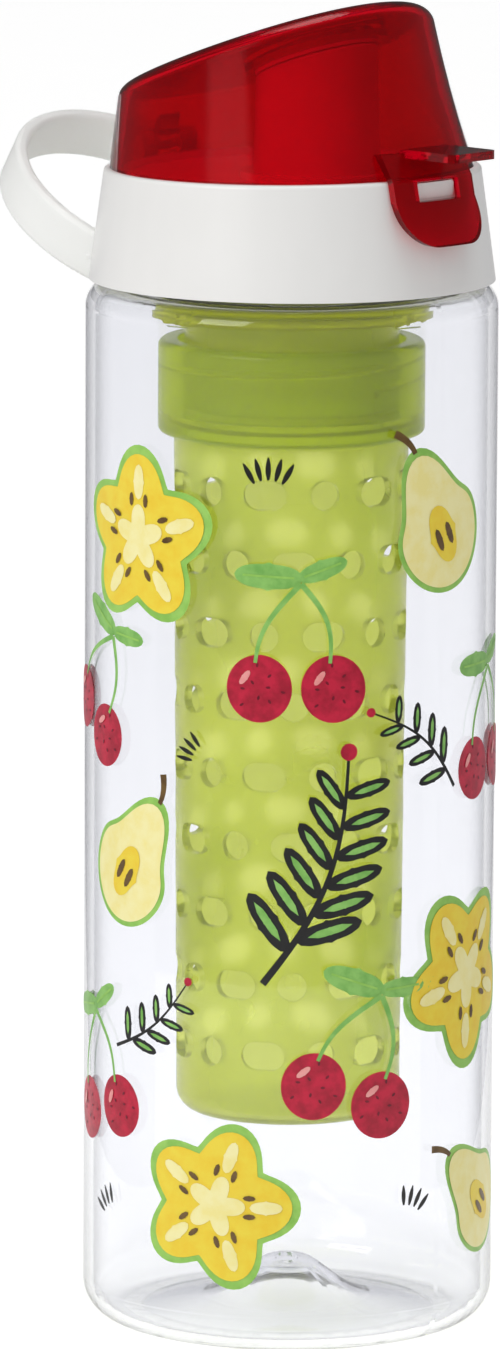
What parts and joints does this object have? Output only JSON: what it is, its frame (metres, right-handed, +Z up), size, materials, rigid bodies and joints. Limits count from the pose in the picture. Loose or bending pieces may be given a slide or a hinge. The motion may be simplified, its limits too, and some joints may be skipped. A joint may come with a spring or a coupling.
{
  "type": "fruit infuser water bottle",
  "caption": "Clear screw-top water bottle with a hanging fruit infuser, a flip cover with latch over a drinking spout, and a carry loop.",
  "frame": {"origin": "centre of the foot, on the surface that the bottle stands on", "axes": "+Z up along the bottle's axis, +X towards the latch, -X towards the hinge and the carry loop"},
  "size_m": [0.1055, 0.0734, 0.2385],
  "materials": {
    "clear_wall": "clear, smooth and glossy, with a printed decoration",
    "cap_white": "white, fine satin gloss",
    "loop_white": "slightly translucent white, satin",
    "spout_white": "white, smooth",
    "cover_red": "deep red, translucent, high gloss",
    "infuser_green": "green, translucent, glossy",
    "seal_silicone": "soft silicone, matt",
    "pin_white": "smooth"
  },
  "bodies": {
    "bottle": {"bottle_body": "clear_wall"},
    "seal_ring": {"neck_seal": "seal_silicone"},
    "lid": {"cap": "cap_white", "carry_loop": "loop_white", "drinking_spout": "spout_white", "hinge_pin": "pin_white", "infuser_hanger": "infuser_green"},
    "cover": {"flip_cover": "cover_red", "spout_stopper": "seal_silicone"},
    "latch": {"latch_tab": "cover_red"},
    "infuser_ring": {"infuser_seal": "seal_silicone"},
    "infuser": {"infuser_tube": "infuser_green"}
  },
  "joints": [
    {"name": "lid_lift", "type": "slide", "parent": "bottle", "child": "seal_ring", "axis": [0, 0, 1], "range_m": [0, 0.00901]},
    {"name": "lid_turn", "type": "hinge", "parent": "seal_ring", "child": "lid", "pos_m": [0, 0, 0.2], "axis": [0, 0, 1], "range_deg": [0, 720]},
    {"name": "cover_hinge", "type": "hinge", "parent": "lid", "child": "cover", "pos_m": [-0.0345, 0, 0.20913], "axis": [0, -1, 0], "range_deg": [0, 105]},
    {"name": "latch_flex", "type": "hinge", "parent": "cover", "child": "latch", "pos_m": [0.03145, 0, 0.21317], "axis": [0, -1, 0], "range_deg": [0, 12], "stiffness_Nm_per_rad": 0.05, "springref_deg": -2.86},
    {"name": "infuser_drop", "type": "slide", "parent": "lid", "child": "infuser_ring", "axis": [0, 0, -1], "range_m": [0, 0.00701]},
    {"name": "infuser_turn", "type": "hinge", "parent": "infuser_ring", "child": "infuser", "pos_m": [0, 0, 0.17], "axis": [0, 0, -1], "range_deg": [0, 720]}
  ],
  "couplings": [
    {"joint": "lid_lift", "follows": "lid_turn", "m_per_rad": 0.0007162},
    {"joint": "infuser_drop", "follows": "infuser_turn", "m_per_rad": 0.00055704}
  ]
}
